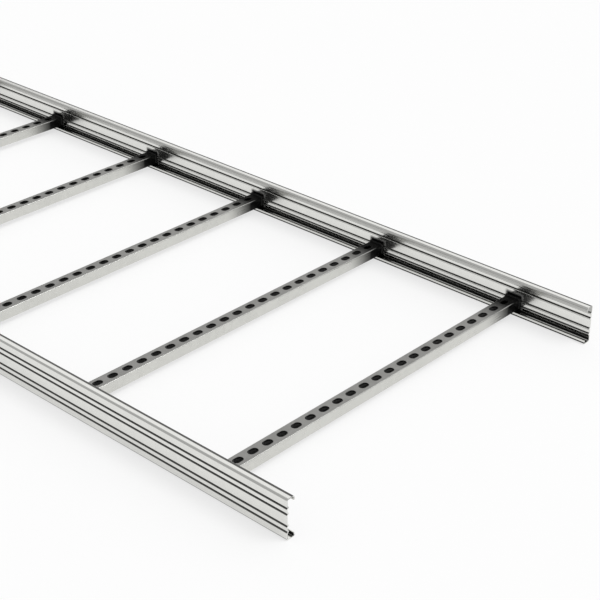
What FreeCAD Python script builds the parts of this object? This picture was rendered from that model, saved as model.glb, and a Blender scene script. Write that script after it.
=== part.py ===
import FreeCAD, Part
import math
import os

V = FreeCAD.Vector

# Cable ladder section of galvanised strip: two roll-formed side rails with slotted C rungs between them.
# Millimetres. X runs along the rails, Y across the ladder, Z up from the floor, and the origin is the
# middle of the underside.

# The whole section
LADDER_LENGTH = 3000.0
LADDER_WIDTH = 600.0

# Side rail: a channel that opens inward, with both flanges lipped back towards each other
RAIL_HEIGHT = 56.0
RAIL_GAUGE = 1.5
RAIL_FLANGE = 12.5
RAIL_LIP = 6.0
RAIL_BEND = 3.0

# Stiffening grooves pressed inward along the web, in a pair above and a pair below its middle
PAIR_FROM_MIDDLE = 12.0
GROOVE_SPACING = 8.0
GROOVE_DEPTH = 1.9
GROOVE_FLANK_ANGLE = 55.0
GROOVE_BEND = 1.5

# Rungs share the length evenly, with half a space beyond the first and the last, so that the spacing
# runs on where two sections meet
RUNG_COUNT = 12
RUNG_PITCH = LADDER_LENGTH / RUNG_COUNT

# Rung: a lipped channel with its open side down, folded tight, and a row of slots in its back
RUNG_WIDTH = 22.0
RUNG_HEIGHT = 16.0
RUNG_GAUGE = 1.5
RUNG_LIP = 5.0
RUNG_END_GAP = 0.0

# Slots in the back of each rung, long across the ladder
SLOT_COUNT = 23
SLOT_PITCH = 25.0
SLOT_LENGTH = 13.0
SLOT_WIDTH = 8.0

# Slots that take the ladder's fixings, by rung and then by slot. Their ends are true arcs, and the
# ends of the others are drawn with three straight sides, to keep the repeated pieces light.
FIXING_SLOTS = {0: (0, 22), 5: (10, 12), 11: (0, 22)}


def corner(before, at, after, radius):
    """The two ends and the middle of the arc that rounds one corner of a path."""
    way_in = (at - before).normalize()
    way_out = (after - at).normalize()
    turn = way_in.getAngle(way_out)
    reach = radius * math.tan(turn / 2)
    start = at - way_in * reach
    end = at + way_out * reach
    inward = (way_out - way_in).normalize()
    centre = at + inward * (radius / math.cos(turn / 2))
    middle = centre - inward * radius
    return start, middle, end


def side_of_strip(path, radii, offset):
    """One face of a bent strip, as edges: the path moved sideways by the offset, its bends kept concentric."""
    ways = [(b - a).normalize() for a, b in zip(path, path[1:])]
    left = [V(0, -w.z, w.y) for w in ways]
    edges = []
    here = path[0] + left[0] * offset
    for i, radius in enumerate(radii):
        at = path[i + 1]
        turns_left = left[i].dot(ways[i + 1]) > 0
        start, middle, end = corner(path[i], at, path[i + 2], radius)
        centre_way = (ways[i + 1] - ways[i]).normalize()
        shift = offset if turns_left else -offset
        start = start + left[i] * offset
        end = end + left[i + 1] * offset
        middle = middle + centre_way * shift
        edges.append(Part.makeLine(here, start))
        if start.distanceToPoint(end) > 0.001:
            edges.append(Part.Arc(start, middle, end).toShape())
        here = end
    edges.append(Part.makeLine(here, path[-1] + left[-1] * offset))
    return edges


def bent_strip(path, radii, gauge):
    """The cut face of a strip of one thickness bent along a path through the middle of its gauge."""
    near = side_of_strip(path, radii, gauge / 2)
    far = side_of_strip(path, radii, -gauge / 2)
    first = Part.makeLine(far[0].Vertexes[0].Point, near[0].Vertexes[0].Point)
    last = Part.makeLine(near[-1].Vertexes[-1].Point, far[-1].Vertexes[-1].Point)
    outline = Part.Wire(Part.__sortEdges__(near + [last] + far + [first]))
    return Part.Face(outline)


def groove_heights():
    """Heights of the web's grooves from the top down."""
    pairs = (RAIL_HEIGHT / 2 + PAIR_FROM_MIDDLE, RAIL_HEIGHT / 2 - PAIR_FROM_MIDDLE)
    return [middle + way * GROOVE_SPACING / 2 for middle in pairs for way in (1, -1)]


def rail_path():
    """Middle of the rail's gauge from the end of its upper lip round to the end of its lower lip."""
    half = RAIL_GAUGE / 2
    tip = RAIL_FLANGE - half
    flank = math.radians(GROOVE_FLANK_ANGLE)
    crease = GROOVE_BEND - half
    # The rounding at the bottom of a groove stops short of the corner that its flanks would meet in
    depth = GROOVE_DEPTH + crease * (1 / math.cos(flank) - 1)
    reach = depth / math.tan(flank)
    points = [V(0, tip, RAIL_HEIGHT - RAIL_LIP)]
    points.append(V(0, tip, RAIL_HEIGHT - half))
    points.append(V(0, half, RAIL_HEIGHT - half))
    for height in groove_heights():
        points.append(V(0, half, height + reach))
        points.append(V(0, half + depth, height))
        points.append(V(0, half, height - reach))
    points.append(V(0, half, half))
    points.append(V(0, tip, half))
    points.append(V(0, tip, RAIL_LIP))
    return points


def side_rail():
    """The rail on the -Y side, its web's outer face at the edge of the ladder."""
    fold = RAIL_BEND - RAIL_GAUGE / 2
    crease = GROOVE_BEND - RAIL_GAUGE / 2
    radii = [fold, fold] + [crease] * 3 * len(groove_heights()) + [fold, fold]
    face = bent_strip(rail_path(), radii, RAIL_GAUGE)
    face.translate(V(-LADDER_LENGTH / 2, -LADDER_WIDTH / 2, 0))
    return face.extrude(V(LADDER_LENGTH, 0, 0))


def save(solid, name):
    """Write one piece to its own file."""
    solid.exportStep(os.path.join("parts", name + ".step"))


def rung_face():
    """Cut face of a rung in the XZ plane, middle of its width at X = 0 and its lips' underside at Z = 0."""
    half = RUNG_GAUGE / 2
    side = RUNG_WIDTH / 2 - half
    inner = RUNG_WIDTH / 2 - RUNG_LIP
    path = [V(0, inner, half)]
    path.append(V(0, side, half))
    path.append(V(0, side, RUNG_HEIGHT - half))
    path.append(V(0, -side, RUNG_HEIGHT - half))
    path.append(V(0, -side, half))
    path.append(V(0, -inner, half))
    face = bent_strip(path, [half] * 4, RUNG_GAUGE)
    face.rotate(V(0, 0, 0), V(0, 0, 1), -90)
    return face


def slot(y, true_arcs):
    """A cutter for one slot in the rung's back, its middle at Y = y."""
    r = SLOT_WIDTH / 2
    tip = SLOT_LENGTH / 2
    shoulder = tip - r
    z = RUNG_HEIGHT - 2 * RUNG_GAUGE
    edges = []
    for way in (1, -1):
        a = V(way * r, y + way * shoulder, z)
        b = V(way * r / 2, y + way * tip, z)
        middle = V(0, y + way * tip, z)
        c = V(-way * r / 2, y + way * tip, z)
        d = V(-way * r, y + way * shoulder, z)
        if true_arcs:
            edges.append(Part.Arc(a, middle, d).toShape())
        else:
            edges.append(Part.makeLine(a, b))
            edges.append(Part.makeLine(b, c))
            edges.append(Part.makeLine(c, d))
        edges.append(Part.makeLine(d, V(-way * r, y - way * shoulder, z)))
    return Part.Face(Part.Wire(edges)).extrude(V(0, 0, 3 * RUNG_GAUGE))


def rung_blank():
    """A rung without its slots at X = 0, its ends against the ridges that the rails' grooves raise inside."""
    length = LADDER_WIDTH - 2 * (RAIL_GAUGE + GROOVE_DEPTH + RUNG_END_GAP)
    face = rung_face()
    face.translate(V(0, -length / 2, 0))
    return face.extrude(V(0, length, 0))


def slot_cutters(fixings):
    """The rung's whole row of slots, those numbered in fixings with true arcs."""
    middle = (SLOT_COUNT - 1) / 2
    return [slot((i - middle) * SLOT_PITCH, i in fixings) for i in range(SLOT_COUNT)]


os.makedirs("parts", exist_ok=True)

rail = side_rail()
save(rail, "side_rail_right")
save(rail.mirror(V(0, 0, 0), V(0, 1, 0)), "side_rail_left")

blank = rung_blank()
first_rung = (RUNG_COUNT - 1) * RUNG_PITCH / 2
underside = RAIL_HEIGHT / 2 - PAIR_FROM_MIDDLE - RUNG_HEIGHT / 2
# Each rung stands level with the lower pair of grooves, so that it meets both of their ridges
for i in range(RUNG_COUNT):
    piece = blank.cut(slot_cutters(FIXING_SLOTS.get(i, ())))
    piece.translate(V(first_rung - i * RUNG_PITCH, 0, underside))
    save(piece, "rung_%02d" % (i + 1))
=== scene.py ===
import math

import bpy
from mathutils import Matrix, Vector


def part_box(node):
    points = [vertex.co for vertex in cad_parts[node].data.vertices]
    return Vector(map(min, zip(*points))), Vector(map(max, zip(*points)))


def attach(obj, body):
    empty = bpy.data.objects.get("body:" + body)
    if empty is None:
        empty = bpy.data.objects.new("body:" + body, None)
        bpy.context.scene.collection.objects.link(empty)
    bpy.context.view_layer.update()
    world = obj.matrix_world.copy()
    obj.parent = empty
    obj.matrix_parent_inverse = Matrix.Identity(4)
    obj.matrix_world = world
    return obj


# A section of galvanised steel cable ladder lying on a pale studio floor: two side rails and twelve
# slotted rungs between them. Metres, with +Z up and the ladder along X.

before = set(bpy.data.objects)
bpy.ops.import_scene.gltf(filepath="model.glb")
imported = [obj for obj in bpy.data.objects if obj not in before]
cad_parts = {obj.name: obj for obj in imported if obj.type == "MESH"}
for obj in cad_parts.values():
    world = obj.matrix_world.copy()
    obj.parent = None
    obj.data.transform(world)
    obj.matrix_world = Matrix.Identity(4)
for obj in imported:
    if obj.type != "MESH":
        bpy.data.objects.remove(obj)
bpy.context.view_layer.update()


# The side rails. Each is one strip of hot-dip galvanised steel, rolled into a channel with four V
# grooves along its web. The zinc shows faint crystals and the fine lines that the rolls draw along it.
# Painted shade darkens its grooves and bends, greys its lips and the web under the top flange, and
# paints black the lower corner, the lips' feet and the web round each rung's end.
RAIL_LIGHT = (0.80, 0.80, 0.77)
RAIL_DARK = (0.71, 0.71, 0.685)
BEND_SHADE_COLOUR = (0.60, 0.60, 0.58)
LIP_SHADE_COLOUR = (0.42, 0.42, 0.405)
CREASE_SHADE_COLOUR = (0.10, 0.10, 0.096)
CORNER_SHADE_BLACK = (0.012, 0.012, 0.012)
RUNG_END_SHADE_COLOUR = (0.006, 0.006, 0.006)
RAIL_ROUGHNESS = 0.17
RAIL_ROUGHNESS_SPREAD = (0.05, 0.12)
RAIL_GRAIN_SHARES = (0.35, 0.45, 0.20)
RAIL_CLOUDS_PER_METRE = 6.0
ALONG_RAIL = (0.01, 1.0, 1.0)
ZINC_CRYSTALS_PER_METRE = 110.0
ROLL_LINES_PER_METRE = 900.0
ROLL_LINE_DEPTH = 0.000004
ZINC_SHINE = 0.1
METAL_LOST_IN_BLACK = 0.9

# Where each patch of painted shade starts and ends, as two places that it fades between: heights above
# the floor, or depths inward from the rail's outside. HALFWAY lies round the rail's middle, and BEND_DEPTH
# is taken in from its top and its bottom.
HALFWAY = (0.001, -0.001)
BEND_DEPTH = (0.0050, 0.0045)
FLANGE_WIDTH = 0.0125
RIM_FROM = (0.0072, 0.0078)
UPPER_LIP_FROM = (0.0116, 0.0119)
INSIDE_FROM = (0.0010, 0.0012)
INSIDE_TO = (0.0100, 0.0105)
ABOVE_BOTTOM = (0.0012, 0.0014)
CORNER_DEPTH = (0.0032, 0.0042)
CORNER_FROM = (0.0022, 0.0028)
CORNER_TO = (0.0060, 0.0070)
LIP_BACK_FROM = (0.0100, 0.0104)
LIP_BACK_TO = (0.0112, 0.0114)
LIP_BACK_TOP = (0.0054, 0.0058)
LIP_FOOT_FROM = (0.0114, 0.0118)
LIP_FOOT_TOP = (0.0030, 0.0038)
SHADE_FROM = (0.0437, 0.0447)
TOP_FLANGE_FROM = (0.050, 0.052)
RUNG_END_SHADE_ACROSS = (0.011, 0.017)
RUNG_END_SHADE_TOP = (0.027, 0.033)

# How far a face turns, from 0 to 1, before it counts as bent, as an underside or as a top
BENT = (0.15, 0.45)
UNDERSIDE = (0.05, 0.25)
RIM_UP = (0.2, 0.4)
FLANGE_UP = (0.3, 0.6)

rung_low, rung_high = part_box("rung_01")
next_low, next_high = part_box("rung_02")
RUNG_SPACING = rung_low[0] - next_low[0]
rail_low, rail_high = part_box("side_rail_right")
RAIL_MIDDLE = (rail_low[2] + rail_high[2]) / 2
RAIL_OUTSIDE = -rail_low[1]


class Socket:
    """One output of a material's nodes, for use in sums like a number."""

    def __init__(self, tree, output):
        self.tree = tree
        self.output = output

    def node(self, kind, inputs=(), out=0, **settings):
        """Any node: its settings, then the value or the Socket that goes into each input."""
        made = self.tree.nodes.new(kind)
        for name, value in settings.items():
            setattr(made, name, value)
        for name, value in inputs:
            if isinstance(value, Socket):
                self.tree.links.new(value.output, made.inputs[name])
            else:
                made.inputs[name].default_value = value
        return Socket(self.tree, made.outputs[out])

    def maths(self, operation, first, second=0.0):
        """One step of arithmetic, on these two in this order."""
        return self.node("ShaderNodeMath", ((0, first), (1, second)), operation=operation)

    def __add__(self, other):
        return self.maths("ADD", self, other)

    def __radd__(self, other):
        return self.maths("ADD", other, self)

    def __sub__(self, other):
        return self.maths("SUBTRACT", self, other)

    def __rsub__(self, other):
        return self.maths("SUBTRACT", other, self)

    def __mul__(self, other):
        return self.maths("MULTIPLY", self, other)

    def __rmul__(self, other):
        return self.maths("MULTIPLY", other, self)

    def __truediv__(self, other):
        return self.maths("DIVIDE", self, other)

    def __rtruediv__(self, other):
        return self.maths("DIVIDE", other, self)

    def __lt__(self, other):
        return self.maths("LESS_THAN", self, other)

    def __gt__(self, other):
        return self.maths("GREATER_THAN", self, other)

    def least(self, other):
        return self.maths("MINIMUM", self, other)

    def most(self, other):
        return self.maths("MAXIMUM", self, other)

    def size(self):
        """The number without its sign."""
        return self.maths("ABSOLUTE", self)

    def part(self, number):
        """The X, Y or Z of a place or a direction, by number."""
        return self.node("ShaderNodeSeparateXYZ", (("Vector", self),), out=number)

    def over(self, limits):
        """0 below the first limit, 1 above the second and smooth between them."""
        low, high = limits
        ramp = (("Value", self), ("From Min", low), ("From Max", high))
        return self.node("ShaderNodeMapRange", ramp, interpolation_type="SMOOTHSTEP")

    def under(self, limits):
        """1 below the first limit, 0 above the second and smooth between them."""
        return 1.0 - self.over(limits)


def mixed(share, first, second):
    """One colour where the share is 0, turning to another where it is 1."""
    inputs = [("Factor", share)]
    for number, colour in ((6, first), (7, second)):
        inputs.append((number, colour if isinstance(colour, Socket) else (*colour, 1)))
    return share.node("ShaderNodeMix", inputs, out=2, data_type="RGBA")


def cloud(place, scale, detail=2.0):
    """A cloudy number round 0.5."""
    return place.node("ShaderNodeTexNoise", (("Vector", place), ("Scale", scale), ("Detail", detail)))


def surface(name, shine):
    """A new material: itself, its shader, and the place of each point that it covers."""
    made = bpy.data.materials.new(name)
    made.use_nodes = True
    tree = made.node_tree
    shader = tree.nodes["Principled BSDF"]
    shader.inputs["Specular IOR Level"].default_value = shine
    place = Socket(tree, tree.nodes.new("ShaderNodeTexCoord").outputs["Object"])
    return made, shader, place


def feed(shader, name, value):
    """Run one output into the shader."""
    value.tree.links.new(value.output, shader.inputs[name])


def zinc_grain(place, clouds_per_metre, drawn, shares):
    """The crystals, the rolls' lines drawn out along the strip, and a tone of both with some cloud."""
    cells = (("Vector", place), ("Scale", ZINC_CRYSTALS_PER_METRE))
    cells = place.node("ShaderNodeTexVoronoi", cells, out=1)
    crystals = cells.node("ShaderNodeSeparateColor", (("Color", cells),))
    strip = place.node("ShaderNodeMapping", (("Vector", place), ("Scale", drawn)))
    lines = cloud(strip, ROLL_LINES_PER_METRE)
    tone = crystals * shares[0] + cloud(place, clouds_per_metre) * shares[1] + lines * shares[2]
    return crystals, lines, tone


def spread(crystals, lines, shares):
    """How much rougher or smoother the crystals and the lines make the zinc."""
    return (crystals - 0.5) * shares[0] + (lines - 0.5) * shares[1]


def roll_lines(lines):
    """The surface normal of the shallow lines."""
    inputs = (("Strength", 1.0), ("Distance", ROLL_LINE_DEPTH), ("Height", lines))
    return lines.node("ShaderNodeBump", inputs)


def short_of(end, distances):
    """The two places that lie these distances before an end."""
    return end - distances[0], end - distances[1]


def from_rung(place):
    """How far along the rails a point is from the middle of the nearest rung."""
    row = place.part(0) / RUNG_SPACING
    return (row.maths("FRACT", row) - 0.5).size() * RUNG_SPACING


rail_metal, shader, place = surface("rail_zinc", ZINC_SHINE)
crystals, lines, tone = zinc_grain(place, RAIL_CLOUDS_PER_METRE, ALONG_RAIL, RAIL_GRAIN_SHARES)
facing = place.node("ShaderNodeNewGeometry", out=1)
outward = facing.part(1).size()
up = facing.part(2)
height = place.part(2)
inward = RAIL_OUTSIDE - place.part(1).size()

bent = outward.least(up.size()).over(BENT)
underside = (0.0 - up).over(UNDERSIDE)
upper = height.over(short_of(RAIL_MIDDLE, HALFWAY))
edge = (height - RAIL_MIDDLE).size().over(short_of(RAIL_MIDDLE, BEND_DEPTH))
upper_lip_shade = inward.over(UPPER_LIP_FROM) * upper
inside = inward.over(INSIDE_FROM) * inward.under(INSIDE_TO) * height.over(ABOVE_BOTTOM)
# Painted shade: the lower corner inside the channel, the back of the lower lip and the lip's foot are
# painted black.
corner = inside * inward.under(CORNER_DEPTH) * height.under(CORNER_TO) * height.over(CORNER_FROM)
lip_back = inward.over(LIP_BACK_FROM) * inward.under(LIP_BACK_TO)
corner = corner + lip_back * height.over(ABOVE_BOTTOM) * height.under(LIP_BACK_TOP)
lip_foot_shade = inward.over(LIP_FOOT_FROM) * height.under(LIP_FOOT_TOP)
shade = inside * height.over(SHADE_FROM) * (1.0 - up.over(FLANGE_UP) * height.over(TOP_FLANGE_FROM))
flange = place.part(1) + RAIL_OUTSIDE
flange = flange.maths("MODULO", flange, 2 * RAIL_OUTSIDE - FLANGE_WIDTH)
rim_shade = flange.over(RIM_FROM) * up.over(RIM_UP) * edge * upper
# Painted shade: the inside of the rail is painted black round each rung's end, up to just above the rung.
rung_end_shade = from_rung(place).under(RUNG_END_SHADE_ACROSS) * height.under(RUNG_END_SHADE_TOP) * inside

# Painted shade: the grooves and the undersides of the bends are painted nearly black, and the bends at the
# top and bottom grey, where shade falls in them.
painted_bend_shade = mixed(edge, CREASE_SHADE_COLOUR, mixed(underside, BEND_SHADE_COLOUR, CREASE_SHADE_COLOUR))
# Painted shade: the upper lip is painted grey.
colour = mixed(upper_lip_shade, mixed(tone, RAIL_DARK, RAIL_LIGHT), LIP_SHADE_COLOUR)
colour = mixed(bent.most(underside * edge), colour, painted_bend_shade)
colour = mixed(corner, mixed(lip_foot_shade, colour, CORNER_SHADE_BLACK), CORNER_SHADE_BLACK)
# Painted shade: the web under the top flange is painted grey, and the flange's inner rim nearly black.
colour = mixed(rim_shade, mixed(shade, colour, LIP_SHADE_COLOUR), CREASE_SHADE_COLOUR)
feed(shader, "Base Color", mixed(rung_end_shade, colour, RUNG_END_SHADE_COLOUR))
feed(shader, "Metallic", 1.0 - METAL_LOST_IN_BLACK * rung_end_shade.most(corner).most(lip_foot_shade))
feed(shader, "Roughness", RAIL_ROUGHNESS + spread(crystals, lines, RAIL_ROUGHNESS_SPREAD))
feed(shader, "Normal", roll_lines(lines))

for name in ("side_rail_right", "side_rail_left"):
    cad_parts[name].data.materials.clear()
    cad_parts[name].data.materials.append(rail_metal)


# The rungs. Channels rolled from the same strip with their open side down, and punched with a row of
# slots. Their backs are darker and rougher than their sides, with a painted highlight along the folds.
# Painted shade makes their hollows and the slots' cut edges black, and their ends, further along at
# the left rail.
RUNG_LIGHT = (0.70, 0.70, 0.665)
RUNG_DARK = (0.58, 0.58, 0.55)
BACK_LIGHT = (0.40, 0.398, 0.383)
BACK_DARK = (0.25, 0.248, 0.238)
FOLD_HIGHLIGHT_COLOUR = (0.40, 0.40, 0.385)
HOLLOW_SHADE_COLOUR = (0.02, 0.02, 0.019)
RUNG_SHADE_BLACK = (0.005, 0.005, 0.005)
RUNG_ROUGHNESS = 0.30
RUNG_ROUGHNESS_SPREAD = (0.06, 0.10)
BACK_ROUGHNESS = 0.42
HOLLOW_ROUGHNESS = 0.35
RUNG_GRAIN_SHARES = (0.30, 0.50, 0.20)
RUNG_CLOUDS_PER_METRE = 14.0
ALONG_RUNG = (1.0, 0.01, 1.0)
BACK_UP = (0.78, 0.97)
FOLD = (0.25, 0.55)
SKIN = 0.0013
SLOT_SPACING = 0.025
SLOT_STRAIGHT = 0.0025
SLOT_RADIUS = 0.004

# Distances out from a slot's edge, down from the rung's back, and in from its end
SLOT_EDGE_SHADE_TO = (0.00096, 0.00132)
SLOT_EDGE_SHADE_DEPTH = (0.0018, 0.0016)
LEFT_END_SHADE_REACH = (0.082, 0.0164)
END_SHADE_REACH = (0.030, 0.006)
FOLD_HIGHLIGHT_END = (0.030, 0.010)

RUNG_HALF_WIDTH = (rung_high[0] - rung_low[0]) / 2
RUNG_HALF_LENGTH = rung_high[1]
RUNG_TOP = rung_high[2]
RUNG_BOTTOM = rung_low[2]


rung_metal, shader, place = surface("rung_zinc", ZINC_SHINE)
crystals, lines, tone = zinc_grain(place, RUNG_CLOUDS_PER_METRE, ALONG_RUNG, RUNG_GRAIN_SHARES)
facing = place.node("ShaderNodeNewGeometry", out=1)
sideways = facing.part(0).size()
up = facing.part(2)
height = place.part(2)
across = from_rung(place)
along = place.part(1)

back = up.over(BACK_UP)
hollow = (across < RUNG_HALF_WIDTH - SKIN) * (height < RUNG_TOP - SKIN) * (height > RUNG_BOTTOM + SKIN)
slot = along / SLOT_SPACING + 0.5
past_straight = ((slot.maths("FRACT", slot) - 0.5).size() * SLOT_SPACING - SLOT_STRAIGHT).most(0.0)
from_slot = past_straight * past_straight + across * across
from_slot = from_slot.maths("SQRT", from_slot) - SLOT_RADIUS
# Painted shade: the slots' cut edges, near the rung's back, are painted black.
slot_edge_shade = from_slot.under(SLOT_EDGE_SHADE_TO) * height.over(short_of(RUNG_TOP, SLOT_EDGE_SHADE_DEPTH))
# Painted shade: the rung is painted black towards its ends, much further in at the left rail.
rung_end_shade = along.over(short_of(RUNG_HALF_LENGTH, LEFT_END_SHADE_REACH))
rung_end_shade = (rung_end_shade + along.size().over(short_of(RUNG_HALF_LENGTH, END_SHADE_REACH))).least(1.0)
# Painted highlight: a flat light grey is painted along the folds between the rung's back and sides, kept
# over the painted shade near the left end.
fold_highlight = sideways.least(up).over(FOLD) * (1.0 - hollow)
fold_highlight = fold_highlight * along.size().under(short_of(RUNG_HALF_LENGTH, FOLD_HIGHLIGHT_END))

colour = mixed(back, mixed(tone, RUNG_DARK, RUNG_LIGHT), mixed(tone, BACK_DARK, BACK_LIGHT))
# Painted shade: the hollow under the rung's back is painted black.
colour = mixed(slot_edge_shade, mixed(hollow, colour, HOLLOW_SHADE_COLOUR), RUNG_SHADE_BLACK)
colour = mixed(rung_end_shade, colour, RUNG_SHADE_BLACK)
feed(shader, "Base Color", mixed(fold_highlight, colour, FOLD_HIGHLIGHT_COLOUR))
feed(shader, "Metallic", 1.0 - METAL_LOST_IN_BLACK * rung_end_shade.most(slot_edge_shade).most(hollow))
rough = RUNG_ROUGHNESS + back * (BACK_ROUGHNESS - RUNG_ROUGHNESS)
rough = rough + hollow * (HOLLOW_ROUGHNESS - RUNG_ROUGHNESS)
feed(shader, "Roughness", rough + spread(crystals, lines, RUNG_ROUGHNESS_SPREAD))
feed(shader, "Normal", roll_lines(lines))

rungs = [node for name, node in sorted(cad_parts.items()) if name.startswith("rung_")]
for node in rungs:
    node.data.materials.clear()
    node.data.materials.append(rung_metal)


# The welds. A fillet bead runs up, across and down round each rung's end, where the rung meets the
# ridges on the inside of the rail. The heat has left the beads black and rough.
BEAD_RADIUS = 0.0021
BEAD_BULGE = 0.0004
BEAD_REACH = 0.0010
BEAD_LOW = 0.0015
RIPPLE_LENGTH = 0.0024
RIPPLE_SHARE = 0.5
RIPPLE_SHIFT = 5
LUMP_TURNS_PER_METRE = 1700
LUMP_SHARE = 0.4
LUMP_SHIFT = 9
RING_STEP = 0.0008
RING_SIDES = 8
BEND_REACH = 0.003
END_SHARE = 0.3
WELD_BLACK = (0.006, 0.006, 0.006)
WELD_GREY = (0.05, 0.05, 0.048)
WELD_SHINE = 0.2
WELD_METALLIC = 0.2
WELD_SPOTS_PER_METRE = 900.0
WELD_SPOT_DETAIL = 3.0
WELD_SPOT = (0.45, 0.75)
WELD_ROUGHNESS = 0.45
WELD_ROUGHNESS_SPREAD = 0.3

weld_metal, shader, place = surface("weld_metal", WELD_SHINE)
shader.inputs["Metallic"].default_value = WELD_METALLIC
spots = cloud(place, WELD_SPOTS_PER_METRE, WELD_SPOT_DETAIL)
feed(shader, "Base Color", mixed(spots.over(WELD_SPOT), WELD_BLACK, WELD_GREY))
feed(shader, "Roughness", WELD_ROUGHNESS + spots * WELD_ROUGHNESS_SPREAD)

bead_foot = RUNG_BOTTOM + BEAD_LOW
bead_height = RUNG_TOP - bead_foot
bead_length = 2 * bead_height + 2 * RUNG_HALF_WIDTH


def bead_point(travel):
    """Where the bead is, across the rung and up, after so much travel."""
    if travel < bead_height:
        return -RUNG_HALF_WIDTH, bead_foot + travel
    if travel < bead_height + 2 * RUNG_HALF_WIDTH:
        return travel - bead_height - RUNG_HALF_WIDTH, RUNG_TOP
    return RUNG_HALF_WIDTH, bead_foot + bead_length - travel


def add_bead(points, faces, middle, end):
    """One bead round the end of the rung whose middle is here along the rails."""
    first = len(points)
    count = int(bead_length / RING_STEP)
    for ring in range(count + 1):
        travel = bead_length * ring / count
        x, z = bead_point(travel)
        ahead = bead_point(min(travel + BEND_REACH, bead_length))
        behind = bead_point(max(travel - BEND_REACH, 0.0))
        way = Vector((ahead[0] - behind[0], 0, ahead[1] - behind[1])).normalized()
        side = Vector((-way.z, 0, way.x))
        ripple = math.sin(2 * math.pi * travel / RIPPLE_LENGTH + RIPPLE_SHIFT * middle)
        lump = math.sin(LUMP_TURNS_PER_METRE * travel + LUMP_SHIFT * middle + end)
        radius = BEAD_RADIUS + BEAD_BULGE * (RIPPLE_SHARE * ripple + LUMP_SHARE * lump)
        if ring in (0, count):
            radius = END_SHARE * radius
        for corner in range(RING_SIDES):
            angle = 2 * math.pi * corner / RING_SIDES
            y = end - math.copysign(BEAD_REACH, end) + radius * math.sin(angle)
            points.append(Vector((middle + x, y, z)) + side * radius * math.cos(angle))
    for ring in range(count):
        low = first + ring * RING_SIDES
        for corner in range(RING_SIDES):
            beside = (corner + 1) % RING_SIDES
            faces.append((low + corner, low + beside, low + RING_SIDES + beside, low + RING_SIDES + corner))
    last = first + count * RING_SIDES
    faces.append(tuple(range(first, first + RING_SIDES)))
    faces.append(tuple(range(last, last + RING_SIDES)))


for side_name, end in (("right", -RUNG_HALF_LENGTH), ("left", RUNG_HALF_LENGTH)):
    points = []
    faces = []
    for node in rungs:
        low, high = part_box(node.name)
        add_bead(points, faces, (low[0] + high[0]) / 2, end)
    mesh = bpy.data.meshes.new("rung_welds_" + side_name)
    mesh.from_pydata(points, [], faces)
    mesh.materials.append(weld_metal)
    mesh.shade_smooth()
    welds = bpy.data.objects.new("rung_welds_" + side_name, mesh)
    bpy.context.collection.objects.link(welds)
    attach(welds, "root")


# The studio. A pale floor lies under the ladder, and a wide lamp lights it softly from above. A bright
# panel stands behind the ladder over a dim strip, and from floor to ceiling at the right. The rest of the
# room is grey, so that the metal shows its bends.
FLOOR_SIZE = 40.0
FLOOR_COLOUR = (0.88, 0.88, 0.88)
FLOOR_ROUGHNESS = 0.9
FLOOR_SHINE = 0.1
FLOOR_GLOW = 0.68
PANEL_COLOUR = (1.06, 1.06, 1.06)
ROOM_COLOUR = (0.60, 0.60, 0.60)
DIM_COLOUR = (0.12, 0.12, 0.12)
SKY_COLOUR = (0.97, 0.97, 0.97)
PANEL_BEHIND = (0.10, 0.35)
PANEL_RIGHT = (-0.30, 0.0)
PANEL_BOTTOM = (0.25, 0.38)
PANEL_TOP = (0.62, 0.75)
KEY_FROM = (0.45, 0.30, 0.84)
KEY_STRENGTH = 1.35
KEY_ANGLE = 30.0

bpy.ops.mesh.primitive_plane_add(size=FLOOR_SIZE, location=(0, 0, 0))
floor = bpy.context.object
floor.name = "floor"
floor_paint, shader, place = surface("floor_paint", FLOOR_SHINE)
shader.inputs["Base Color"].default_value = (*FLOOR_COLOUR, 1)
shader.inputs["Roughness"].default_value = FLOOR_ROUGHNESS
seen = place.node("ShaderNodeLightPath", out="Is Camera Ray")
for ray in ("Is Glossy Ray", "Is Transmission Ray"):
    seen = seen.most(place.node("ShaderNodeLightPath", out=ray))
glow = place.node("ShaderNodeEmission")
paint = Socket(place.tree, shader.outputs["BSDF"])
both = place.node("ShaderNodeMixShader", ((0, seen * FLOOR_GLOW), (1, paint), (2, glow)))
feed(floor_paint.node_tree.nodes["Material Output"], "Surface", both)
floor.data.materials.append(floor_paint)

world = bpy.data.worlds.new("sky")
bpy.context.scene.world = world
world.use_nodes = True
tree = world.node_tree
way = Socket(tree, tree.nodes.new("ShaderNodeTexCoord").outputs["Generated"])
rise = way.part(2)
backdrop = mixed(rise.over(PANEL_BOTTOM), DIM_COLOUR, PANEL_COLOUR)
backdrop = mixed(rise.over(PANEL_TOP), backdrop, ROOM_COLOUR)
backdrop = mixed(way.part(0).over(PANEL_RIGHT), backdrop, PANEL_COLOUR)
lights = mixed(way.part(1).over(PANEL_BEHIND), ROOM_COLOUR, backdrop)
seen = way.node("ShaderNodeLightPath", out="Is Camera Ray")
feed(tree.nodes["Background"], "Color", mixed(seen, lights, SKY_COLOUR))

key_data = bpy.data.lights.new("key_lamp", "SUN")
key_data.energy = KEY_STRENGTH
key_data.angle = math.radians(KEY_ANGLE)
key_lamp = bpy.data.objects.new("key_lamp", key_data)
key_lamp.rotation_euler = Vector(KEY_FROM).to_track_quat("Z", "Y").to_euler()
bpy.context.collection.objects.link(key_lamp)


# The camera. It stands where the photograph was taken from, worked out from the ladder's own lines:
# beyond the near end and to the right of the ladder, looking down and along it.
CAMERA_PLACE = (2.40714, -1.26342, 1.02255)
CAMERA_TURNS = (61.4468, -0.1585, 42.7683)
CAMERA_LENS = 89.953
CAMERA_SENSOR = 36.0

camera_data = bpy.data.cameras.new("camera")
camera_data.lens = CAMERA_LENS
camera_data.sensor_width = CAMERA_SENSOR
camera = bpy.data.objects.new("camera", camera_data)
camera.location = CAMERA_PLACE
camera.rotation_euler = [math.radians(turn) for turn in CAMERA_TURNS]
bpy.context.collection.objects.link(camera)
bpy.context.scene.camera = camera
bpy.context.scene.view_settings.view_transform = "Standard"
